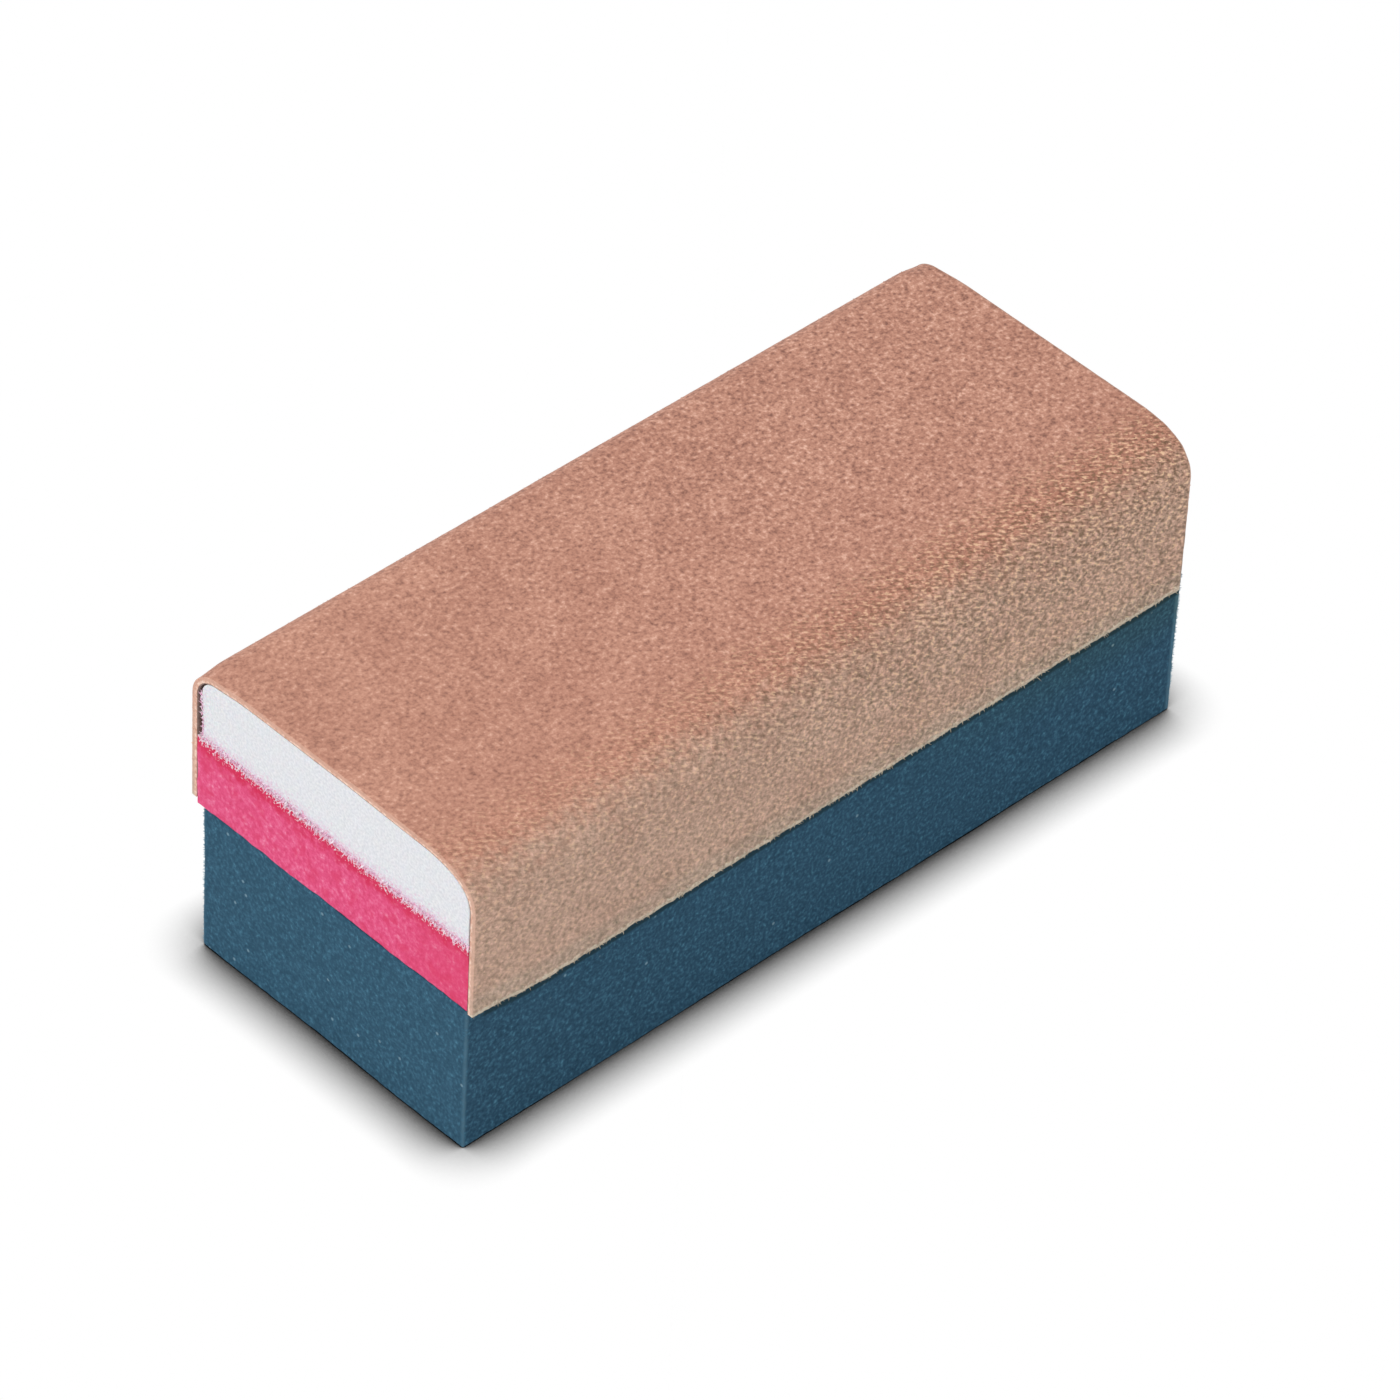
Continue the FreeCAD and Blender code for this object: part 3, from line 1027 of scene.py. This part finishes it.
def node_tree(name, sockets):
    """A Geometry Nodes tree with these named inputs, and its input and output nodes."""
    tree = bpy.data.node_groups.new(name, "GeometryNodeTree")
    tree.interface.new_socket("Geometry", in_out="OUTPUT", socket_type="NodeSocketGeometry")
    tree.interface.new_socket("Geometry", in_out="INPUT", socket_type="NodeSocketGeometry")
    for label, kind in sockets.items():
        tree.interface.new_socket(label, in_out="INPUT", socket_type=kind)
    return tree, add(tree, "NodeGroupInput").outputs, add(tree, "NodeGroupOutput")


def random_vector(tree, low, high, seed):
    inputs = {"Min": low, "Max": high, "Seed": seed}
    return add(tree, "FunctionNodeRandomValue", inputs, data_type="FLOAT_VECTOR").outputs[0]


def plant(tree, result, points, shape, turned, sized, material):
    """Puts a shape on each point, and makes them all the tree's result, as real faces of one material."""
    inputs = {"Points": points, "Instance": shape, "Rotation": turned, "Scale": sized}
    copies = add(tree, "GeometryNodeInstanceOnPoints", inputs).outputs[0]
    real = add(tree, "GeometryNodeRealizeInstances", {0: copies}).outputs[0]
    coated = add(tree, "GeometryNodeSetMaterial", {"Geometry": real, "Material": material}).outputs[0]
    tree.links.new(coated, result.inputs[0])


def grown(name, source, tree, values):
    """A new plain mesh object: what the tree makes of the source's mesh with these inputs."""
    seedbed = bpy.data.objects.new(name + "_seedbed", source)
    bpy.context.scene.collection.objects.link(seedbed)
    modifier = seedbed.modifiers.new(tree.name, "NODES")
    modifier.node_group = tree
    for item in tree.interface.items_tree:
        if item.in_out == "INPUT" and item.name in values:
            modifier[item.identifier] = values[item.name]
    view = bpy.context.evaluated_depsgraph_get()
    mesh = bpy.data.meshes.new_from_object(seedbed.evaluated_get(view))
    bpy.data.objects.remove(seedbed)
    mesh.name = name
    made = bpy.data.objects.new(name, mesh)
    bpy.context.scene.collection.objects.link(made)
    print(f"{name}: {len(mesh.polygons)} faces")
    return made


# %% [markdown]
# ## Grit
#
# A grain of grit is a sharp crystal half sunk in the resin. Bump alone could draw it, but the outline would
# stay smooth. The tree strews points over the sheet's outer faces, puts an eight-faced crystal on each, and
# turns and sizes each one at random. A real coat has many more and finer grains. These stand for the
# coarsest ones, and the coat's own bump carries the rest.

# %% Strew the grit
SUNK = 0.3  # of its size, the depth of a grain's middle under the coat's face
GRAIN_LEAST, GRAIN_MOST = (0.5, 0.5, 0.35), (1.25, 1.25, 0.9)  # shares of the size, along a grain's axes


def strewn_grit():
    inputs = {"Per square mm": FLOAT, "Grain size": FLOAT, "Seed": WHOLE, "Material": MATERIAL}
    tree, given, result = node_tree("strewn_grit", inputs)
    inputs = {
        "Mesh": given["Geometry"],
        "Selection": add(
            tree, "GeometryNodeInputNamedAttribute", {"Name": OUTSIDE}, data_type="BOOLEAN"
        ).outputs[0],
        "Density": maths(tree, "DIVIDE", given["Per square mm"], MM**2),
        "Seed": given["Seed"],
    }
    spread = add(tree, "GeometryNodeDistributePointsOnFaces", inputs).outputs
    inputs = {0: spread["Normal"], "Scale": maths(tree, "MULTIPLY", given["Grain size"], -SUNK)}
    sunk = add(tree, "ShaderNodeVectorMath", inputs, operation="SCALE").outputs[0]
    places = add(tree, "GeometryNodeSetPosition", {"Geometry": spread["Points"], "Offset": sunk}).outputs[0]
    inputs = {"Segments": 4, "Rings": 2, "Radius": maths(tree, "MULTIPLY", given["Grain size"], 0.5)}
    crystal = add(tree, "GeometryNodeMeshUVSphere", inputs).outputs["Mesh"]
    turned = random_vector(tree, (0.0, 0.0, 0.0), (math.tau, math.tau, math.tau), given["Seed"])
    sized = random_vector(tree, GRAIN_LEAST, GRAIN_MOST, given["Seed"])
    plant(tree, result, places, crystal, turned, sized, given["Material"])
    return tree


values = {
    "Per square mm": 5.8,
    "Grain size": 0.26 * MM,
    "Seed": 4,
    "Material": grit_in_resin("aluminium_oxide_grains", 0.07),
}
dress(grown("grit_grains", coat.data, strewn_grit(), values), "grit_coat")

# %% [markdown]
# ## Torn foam and frayed paper
#
# A blade tears soft foam more than it cuts it. Tufts of the white cushion hang over the pink pad at both
# ends and reach into the gap at the far flange. The base's upright edges are frayed, and the sheet's lips
# carry short paper hairs. Hair curves could draw them, but one tree makes them all as faces: thin
# three-sided spikes along an edge, leaning one way, each turned and sized differently. They are coarser and
# fewer than real fibres, so that they show.

# %% The fringe tree
SPIKE_LEAST, SPIKE_MOST = (0.5, 0.5, 0.15), (1.2, 1.2, 1.0)  # shares of a spike's width, width and length


def torn_fringe():
    inputs = {"Spacing": FLOAT, "Length": FLOAT, "Width": FLOAT, "Lean": DIRECTION, "Spread": FLOAT}
    inputs |= {"Scatter": DIRECTION, "Seed": WHOLE, "Material": MATERIAL}
    tree, given, result = node_tree("torn_fringe", inputs)
    line = add(tree, "GeometryNodeMeshToCurve", {"Mesh": given["Geometry"]}).outputs[0]
    inputs = {"Curve": line, "Length": given["Spacing"]}
    even = add(tree, "GeometryNodeResampleCurve", inputs, mode="LENGTH").outputs[0]
    reaches = (maths(tree, "MULTIPLY", given["Spread"], -1.0), given["Spread"])
    low, high = [add(tree, "ShaderNodeCombineXYZ", {0: r, 1: r, 2: r}).outputs[0] for r in reaches]
    stray = random_vector(tree, low, high, given["Seed"])
    lean = add(tree, "ShaderNodeVectorMath", {0: given["Lean"], 1: stray}, operation="ADD").outputs[0]
    aimed = add(tree, "FunctionNodeAlignRotationToVector", {"Vector": lean}, axis="Z").outputs[0]
    other_seed = maths(tree, "ADD", given["Seed"], 1.0)
    anywhere = random_vector(tree, (-1.0, -1.0, -1.0), (1.0, 1.0, 1.0), other_seed)
    inputs = {0: anywhere, 1: given["Scatter"]}
    jitter = add(tree, "ShaderNodeVectorMath", inputs, operation="MULTIPLY").outputs[0]
    moved = add(tree, "GeometryNodeSetPosition", {"Geometry": even, "Offset": jitter}).outputs[0]
    half = maths(tree, "MULTIPLY", given["Width"], 0.5)
    inputs = {"Vertices": 3, "Radius Top": 0.0, "Radius Bottom": half, "Depth": given["Length"]}
    spike = add(tree, "GeometryNodeMeshCone", inputs).outputs["Mesh"]
    sized = random_vector(tree, SPIKE_LEAST, SPIKE_MOST, given["Seed"])
    plant(tree, result, moved, spike, aimed, sized, given["Material"])
    return tree


fringe_tree = torn_fringe()
print("inputs:", [item.name for item in fringe_tree.interface.items_tree if item.in_out == "INPUT"])


# %% Fringe helpers
def torn_fibre(name, dark, light, size=0.5):
    """Torn ends scatter the light, so they look paler than the solid they hang on."""
    material, tree, shader = new_material(name, roughness=0.9, specular=0.1)
    tone = ramp(tree, grain(tree, size), [(0.4, dark), (0.7, light)])
    tree.links.new(tone, shader.inputs["Base Color"])
    return material


def edge_lines(name, lines):
    """A mesh of loose edges: one chain for each list of places."""
    places, edges = [], []
    for line in lines:
        first = len(places)
        places += [tuple(p) for p in line]
        edges += [(first + i, first + i + 1) for i in range(len(line) - 1)]
    mesh = bpy.data.meshes.new(name)
    mesh.from_pydata(places, edges, [])
    return mesh


def fringe(name, slot, lines, material, spacing, length, width, lean, spread, scatter, seed):
    """Grows spikes along lines of places.  The spacing, length, width and scatter are in millimetres."""
    values = {
        "Spacing": spacing * MM,
        "Length": length * MM,
        "Width": width * MM,
        "Lean": lean,
        "Spread": spread,
        "Scatter": tuple(s * MM for s in scatter),
        "Seed": seed,
        "Material": material,
    }
    return dress(grown(name, edge_lines(name + "_edges", lines), fringe_tree, values), slot)


# %% Tear the foam at the two ends
TUFT_INSET = 0.05 * MM  # the tufts start this far inside the foam's faces

torn_white = torn_fibre("polyether_foam_torn", "e6b4cd", "f3f0f4", size=0.25)
foot = cushion_lo.z + TUFT_INSET
for name, x, out in (("near", near_end, -1), ("far", far_end, 1)):
    seam = [settled(Vector((x, y, foot))) for y in evenly(cushion_lo.y, cushion_hi.y, 40)]
    fringe(
        f"torn_cushion_{name}_end", "cushion_foam", [seam], torn_white, spacing=0.05, length=0.6, width=0.27,
        lean=(0.1 * out, 0.0, -1.0), spread=0.75, scatter=(0.0, 0.1, 0.22), seed=21,
    )
    back = x - out * TUFT_INSET
    heights = evenly(cushion_lo.z, cushion_hi.z - TIGHT_SHOULDER, 20)
    side = [settled(Vector((back, cushion_hi.y + swell(z), z))) for z in heights]
    fringe(
        f"torn_cushion_{name}_side", "cushion_foam", [side], torn_white, spacing=0.07, length=0.45,
        width=0.28, lean=(0.1 * out, 1.0, 0.0), spread=0.7, scatter=(0.0, 0.1, 0.1), seed=23,
    )

# %% Fray the base's upright edges
FRAY_INSET = 0.1 * MM
FRAY_FOOT = 0.3 * MM  # the frays start this far above the bench

torn_blue = torn_fibre("EVA_foam_torn", "86a8b8", "c3d6de")
long_end = far_end + BASE_EXTRA
for index, (x, y) in enumerate([(near_end, base_hi.y), (long_end, base_lo.y), (long_end, base_hi.y)]):
    out_x, out_y = math.copysign(1, x), math.copysign(1, y)
    upright = [(x - out_x * FRAY_INSET, y - out_y * FRAY_INSET, z) for z in (FRAY_FOOT, base_hi.z)]
    fringe(
        f"base_fray_{index + 1}", "base_foam", [upright], torn_blue, spacing=0.05, length=0.22, width=0.14,
        lean=(out_x, out_y, 0.0), spread=1.0, scatter=(0.06, 0.06, 0.0), seed=31 + index,
    )

# %% Fray the sheet's lips
LIP_DEPTH = 0.06 * MM  # of the torn paper behind the coat's face
LIP_END = 0.3 * MM  # the shreds stop this short of the two ends


def along_block(place):
    """Settled places along the block, where place gives the y and z at an x."""
    return [settled(Vector((x, *place(x)))) for x in evenly(near_end + LIP_END, far_end - LIP_END, 140)]


lips = [
    along_block(lambda x: (coat_lo.y + LIP_DEPTH, near_lip(x))),
    along_block(lambda x: (coat_hi.y - LIP_DEPTH, far_lip(x))),
]
torn_paper = torn_fibre("latex_paper_torn", "a99c86", "d6ccb8", size=0.3)
for name, spacing, length, width in (("paper_shreds", 0.14, 0.32, 0.16), ("paper_hairs", 3.5, 0.7, 0.09)):
    fringe(
        name, "sheet_backing", lips, torn_paper, spacing=spacing, length=length, width=width,
        lean=(0.0, 0.0, -1.0), spread=0.7, scatter=(0.1, 0.03, 0.06), seed=41,
    )

# %% Compare the boxes and finish
bpy.context.view_layer.update()
bpy.context.scene.view_settings.view_transform = "Standard"
visual_box = [list(corner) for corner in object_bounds()]
sizes = [[box[1][a] - box[0][a] for a in range(3)] for box in (cad_box, visual_box)]
print("the looks add", [round((new - old) / MM, 2) for old, new in zip(*sizes)], "mm to the CAD box")
